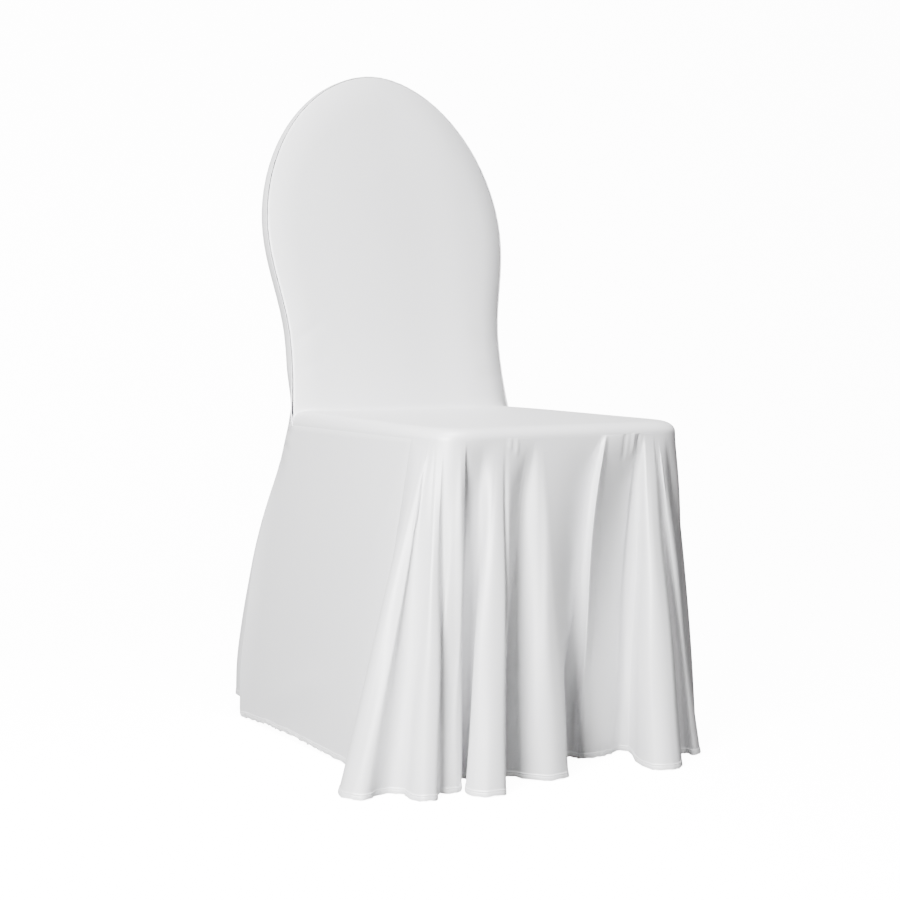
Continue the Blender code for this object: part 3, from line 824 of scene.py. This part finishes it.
drape = {
    "rounding": 0.35,         # how far a turn's shoulders fall back, by half width
    "swellShift": 0.7,
    "softStart": 0.035,       # share of the fall over which the cloth still hangs straight off the rim
    "gatherShare": 0.15,      # share of a hollow's reach that the gathers give
    "gatherFall": 0.11,       # share of the fall by which it is there
    "leastSteps": 5,          # between two control points
    "stepLength": 0.0021,     # along the rim, where they lie further apart
    "hemTop": 0.0145,         # rows below this height belong to the hem
    "rows": 84,
    "rowPower": 1.45,
    "drift": 0.0022,          # how far folds wander sideways between rim and hem
    "waver": 0.0014,          # and in depth
    "creases": [
        Crease(-0.2075, 0.446, -0.2075, 0.150, 0.0030, -0.0028),
        Crease(-0.1985, 0.446, -0.1985, 0.190, 0.0028, 0.0022),
        Crease(-0.1880, 0.446, -0.1860, 0.040, 0.0034, -0.0026),
        Crease(-0.1670, 0.446, -0.1670, 0.170, 0.0028, 0.0026),
        Crease(-0.1575, 0.446, -0.1580, 0.110, 0.0032, -0.0034),
        Crease(-0.1025, 0.447, -0.1020, 0.130, 0.0030, -0.0040),
        Crease(-0.0860, 0.447, -0.0840, 0.418, 0.0022, 0.0014),
        Crease(-0.0960, 0.447, -0.0950, 0.426, 0.0020, 0.0012),
        Crease(-0.066, 0.300, -0.064, -0.120, 0.0030, -0.0018),
        Crease(0.089, 0.456, 0.088, 0.400, 0.0024, -0.0015),
        Crease(0.103, 0.455, 0.102, 0.408, 0.0022, 0.0014),
        Crease(0.112, 0.452, 0.110, 0.412, 0.0024, -0.0013),
        Crease(0.118, 0.230, 0.117, -0.100, 0.0022, -0.0014),
    ],
}


def drapeControls():
    # rim length, hem point, swell and hollowness of each control point
    seamEdge = next(rimLengths[i] for i in range(len(rim)) if rim[i].y <= sides["seamTopY"])
    seamHem = Vector((sides["hemFrontX"], sides["seamHemY"], 0.0))
    controls = [(seamEdge, Vector((-seamHem.x, seamHem.y, 0.0)), Vector(), 0.0)]
    for turn in turns:
        face = math.radians(turn.face)
        out = Vector((math.sin(face), -math.cos(face), 0.0))
        along = Vector((math.cos(face), math.sin(face), 0.0))
        for step in (-1, 0, 1):
            back = out * (-turn.kind * drape["rounding"] * turn.half * abs(step))
            hem = Vector((turn.x, turn.y, 0.0)) + along * (turn.half * step) + back
            swell = out * turn.swell * (1.0 - 0.5 * abs(step))
            controls.append((turn.edge + turn.halfEdge * step, hem, swell, 1.0 if turn.kind < 0 else 0.0))
    controls.append((-seamEdge, Vector((seamHem.x, seamHem.y, 0.0)), Vector(), 0.0))
    return controls


def softFall(fall):
    return fall - drape["softStart"] * (1.0 - math.exp(-fall / drape["softStart"]))


def drapeGrid():
    controls = drapeControls()
    counts = [max(drape["leastSteps"], math.ceil((after[0] - before[0]) / drape["stepLength"]))
              for before, after in zip(controls, controls[1:])]
    hems = pathThrough([control[1] for control in controls], counts)
    places = list(range(len(controls)))
    along = [span + k / count for span, count in enumerate(counts) for k in range(count)] + [places[-1]]
    columns = []
    for place, hem in zip(along, hems):
        edge = smoothValue(place, places, [control[0] for control in controls])
        swell = Vector([smoothValue(place, places, [control[2][axis] for control in controls])
                        for axis in (0, 1)] + [0.0])
        hollow = smoothValue(place, places, [control[3] for control in controls])
        columns.append((place, edge, rimAt(edge), hem, swell, hollow, ease(min(place, places[-1] - place))))
    top = seat["rimHeight"] - cloth["rimGap"]
    turned = [height for height in hemHeights(top, drape["rows"]) if height < drape["hemTop"]]
    heights = [top * (1.0 - (i / drape["rows"]) ** drape["rowPower"]) for i in range(drape["rows"] + 1)]
    heights = [height for height in heights if height > drape["hemTop"]] + list(reversed(turned))
    grid = []
    for height in heights:
        fall = 1.0 - height / top
        hang = softFall(fall) / softFall(1.0)
        gather = 1.0 - math.exp(-(fall / drape["gatherFall"]) ** 2)
        lift = math.sin(math.pi * fall ** drape["swellShift"])
        loose = math.sin(math.pi * fall) ** 1.5
        row = []
        for place, edge, rimPoint, hem, swell, hollow, free in columns:
            reach = mix(hang, gather, drape["gatherShare"] * hollow * (1.0 - fall))
            point = rimPoint.lerp(hem, mix(fall, reach, free)) + swell * lift
            wander = drape["drift"] * free * loose * math.sin(1.7 * place + 5.3 * fall + 0.8)
            sway = drape["waver"] * free * loose * math.sin(0.83 * place - 7.1 * fall + 2.0)
            point += Vector((wander, sway, 0.0))
            point.z = height
            row.append(point)
        grid.append(row)
    return grid, heights, [column[1] for column in columns]


def frontDrape():
    grid, heights, edges = drapeGrid()
    hemAlong = rowLengths([grid[-1]])[0]
    for i, row in enumerate(grid):
        for j, point in enumerate(row):
            point.z += hemRise(heights[i], hemAlong[j])
    grid = pressed(grid, 1, lambda i, j: hemDepth(heights[i], hemAlong[j])
                   - creaseRise(drape["creases"], edges[j], heights[i]))
    grid = withSeams(grid, 1, dict.fromkeys(("left", "right"), cloth["seamTuck"]))
    grid = list(reversed([underRim(grid[0], waysIn(grid, 1)[0])] + grid))
    panel = sewSheet("frontDrape", grid, -1, knitMaterial, turnedRows=cloth["turnedRows"])
    dress(panel, "front_drape")
    return hemLine(grid, -1)


# Hem stitching: one small thread stitch after another, laid along the hems by a Geometry Nodes tree
stitching = {
    "pitch": 0.0034,
    "length": 0.0025,
    "threadRadius": 0.00024,
    "sides": 6,
    "rings": 4,
}


def hemLine(grid, side):
    # where the needle ran: the stitched row of a panel's outer side, whose hem comes first
    ways = waysIn(grid, side)
    row = cloth["stitchRow"]
    out = stitching["threadRadius"] * 0.5
    return [placed(point - ways[row][j] * out) for j, point in enumerate(grid[row])]


def stitchTree():
    tree = bpy.data.node_groups.new("hemStitchRow", "GeometryNodeTree")
    face = tree.interface
    face.new_socket(name="Line", in_out="INPUT", socket_type="NodeSocketGeometry")
    for name, key in (("Pitch", "pitch"), ("Stitch Length", "length"), ("Thread Radius", "threadRadius")):
        socket = face.new_socket(name=name, in_out="INPUT", socket_type="NodeSocketFloat")
        socket.default_value = stitching[key]
    face.new_socket(name="Thread", in_out="INPUT", socket_type="NodeSocketMaterial")
    face.new_socket(name="Stitches", in_out="OUTPUT", socket_type="NodeSocketGeometry")
    given = addNode(tree, "NodeGroupInput")
    curve = addNode(tree, "GeometryNodeMeshToCurve", None, {0: given.outputs["Line"]})
    spaced = addNode(tree, "GeometryNodeResampleCurve", {"mode": "LENGTH"},
                     {"Curve": curve.outputs[0], "Length": given.outputs["Pitch"]})
    bead = addNode(tree, "GeometryNodeMeshUVSphere", None,
                   {"Segments": stitching["sides"], "Rings": stitching["rings"], "Radius": 1.0})
    half = addNode(tree, "ShaderNodeMath", {"operation": "MULTIPLY"},
                   {0: given.outputs["Stitch Length"], 1: 0.5})
    size = addNode(tree, "ShaderNodeCombineXYZ", None,
                   {"X": given.outputs["Thread Radius"], "Y": given.outputs["Thread Radius"],
                    "Z": half.outputs[0]})
    along = addNode(tree, "GeometryNodeInputTangent")
    turn = addNode(tree, "FunctionNodeAlignRotationToVector", {"axis": "Z"}, {"Vector": along.outputs[0]})
    laid = addNode(tree, "GeometryNodeInstanceOnPoints", None,
                   {"Points": spaced.outputs[0], "Instance": bead.outputs[0], "Rotation": turn.outputs[0],
                    "Scale": size.outputs[0]})
    real = addNode(tree, "GeometryNodeRealizeInstances", None, {0: laid.outputs[0]})
    smooth = addNode(tree, "GeometryNodeSetShadeSmooth", None, {0: real.outputs[0]})
    threaded = addNode(tree, "GeometryNodeSetMaterial", None,
                       {"Geometry": smooth.outputs[0], "Material": given.outputs["Thread"]})
    addNode(tree, "NodeGroupOutput", None, {0: threaded.outputs[0]})
    return tree


def hemStitching(lines):
    points, edges = [], []
    for line in lines:
        edges += [(len(points) + k, len(points) + k + 1) for k in range(len(line) - 1)]
        points += line
    mesh = bpy.data.meshes.new("hemLines")
    mesh.from_pydata(points, edges, [])
    guide = bpy.data.objects.new("hemLines", mesh)
    bpy.context.scene.collection.objects.link(guide)
    modifier = guide.modifiers.new("stitches", "NODES")
    tree = stitchTree()
    modifier.node_group = tree
    thread = next(item.identifier for item in tree.interface.items_tree if item.name == "Thread")
    modifier[thread] = threadMaterial
    shown = guide.evaluated_get(bpy.context.evaluated_depsgraph_get())
    made = bpy.data.meshes.new_from_object(shown)
    row = bpy.data.objects.new("hemStitching", made)
    bpy.context.scene.collection.objects.link(row)
    bpy.data.objects.remove(guide, do_unlink=True)
    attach(row, "root")
    print("stitched hems", len(made.polygons))


# Studio: white paper sweep lit from behind, soft lights above and on the left, a weak one in front that
# reaches into the folds, and a dim surround
studio = {
    "floorColour": "FAFAFA",
    "floorReach": 5.0,
    "wallY": 2.6,
    "bend": 1.4,
    "bendSteps": 16,
    "wallHeight": 4.2,
    "paperGlow": 13.0,        # the paper is lit evenly from behind, as on a light table
    "surround": 0.08,
    "aim": (0.0, 0.0, 0.45),
    "topPlace": (-1.00, -1.20, 6.30),
    "topSize": 1.5,
    "topPower": 800.0,
    "glowPlace": (-1.80, -1.25, 1.06),   # low and near, so that it falls off to the right and to the rear
    "glowSize": 0.8,
    "glowPower": 200.0,
    "fillPlace": (0.70, -2.80, 0.40),    # low in front
    "fillSize": 1.2,
    "fillPower": 15.0,
}


def mattStudioPaper():
    # seamless background paper, lit from behind: even, chalky, almost pure white
    material = bpy.data.materials.new("mattStudioPaper")
    material.use_nodes = True
    tree = material.node_tree
    shader = tree.nodes["Principled BSDF"]
    shader.inputs["Base Color"].default_value = fromHex(studio["floorColour"])
    shader.inputs["Roughness"].default_value = 0.9
    shader.inputs["Emission Color"].default_value = fromHex(studio["floorColour"])
    shader.inputs["Emission Strength"].default_value = studio["paperGlow"]
    place = addNode(tree, "ShaderNodeTexCoord")
    tooth = addNode(tree, "ShaderNodeTexNoise", None, {"Vector": place.outputs["Object"], "Scale": 400.0})
    bump = addNode(tree, "ShaderNodeBump", None,
                   {"Strength": 0.05, "Distance": 0.0002, "Height": tooth.outputs[0]})
    tree.links.new(bump.outputs["Normal"], shader.inputs["Normal"])
    return material


def paperSweep():
    reach, wallY, bend = studio["floorReach"], studio["wallY"], studio["bend"]
    profile = [(-reach, 0.0), (wallY - bend, 0.0)]
    for i in range(1, studio["bendSteps"] + 1):
        angle = math.pi / 2.0 * i / studio["bendSteps"]
        profile.append((wallY - bend + bend * math.sin(angle), bend - bend * math.cos(angle)))
    profile.append((wallY, studio["wallHeight"]))
    points = [(x, y, z) for y, z in profile for x in (-reach, reach)]
    faces = [(2 * k, 2 * k + 1, 2 * k + 3, 2 * k + 2) for k in range(len(profile) - 1)]
    mesh = bpy.data.meshes.new("paperSweep")
    mesh.from_pydata(points, [], faces)
    mesh.shade_smooth()
    mesh.materials.append(mattStudioPaper())
    sweep = bpy.data.objects.new("paperSweep", mesh)
    bpy.context.scene.collection.objects.link(sweep)
    sweep.visible_diffuse = False    # the bright paper throws no light up into the folds
    sweep.visible_glossy = False


def softLight(name, place, size, power, aim):
    light = bpy.data.lights.new(name, "AREA")
    light.shape = "SQUARE"
    light.size = size
    light.energy = power
    lamp = bpy.data.objects.new(name, light)
    lamp.location = place
    lamp.rotation_euler = (Vector(aim) - Vector(place)).to_track_quat("-Z", "Y").to_euler()
    bpy.context.scene.collection.objects.link(lamp)


def studioLight():
    surround = bpy.data.worlds.new("evenSurround")
    surround.use_nodes = True
    background = surround.node_tree.nodes["Background"]
    background.inputs["Color"].default_value = fromHex("FFFFFF")
    background.inputs["Strength"].default_value = studio["surround"]
    bpy.context.scene.world = surround
    softLight("top", studio["topPlace"], studio["topSize"], studio["topPower"], studio["aim"])
    softLight("glow", studio["glowPlace"], studio["glowSize"], studio["glowPower"], studio["aim"])
    softLight("fill", studio["fillPlace"], studio["fillSize"], studio["fillPower"], studio["aim"])


# Camera: a little above the seat, turned to the front corner beside sideLeft
viewpoint = {
    "place": (-1.26657, -1.90414, 0.56728),   # from the middle of the seat
    "turn": 32.5602,          # degrees to the right of straight at the front
    "down": 3.8547,
    "lens": 65.75,            # millimetres, on a sensor 36 wide
}


def makeCamera():
    data = bpy.data.cameras.new("studioCamera")
    data.sensor_width = 36.0
    data.lens = viewpoint["lens"]
    data.clip_end = 60.0
    camera = bpy.data.objects.new("studioCamera", data)
    camera.location = Vector(viewpoint["place"]) + frameShift
    camera.rotation_euler = (math.radians(90.0 - viewpoint["down"]), 0.0, -math.radians(viewpoint["turn"]))
    bpy.context.scene.collection.objects.link(camera)
    bpy.context.scene.camera = camera


makeCamera()
studioLight()
paperSweep()
print("studio ready")
seatPanel()
frontPanel()
edgeBand()
hems = [sidePanel("sideLeft", "side_left", -1), sidePanel("sideRight", "side_right", 1)]
hems.append(rearPanel())
hems.append(frontDrape())
hemStitching(hems)
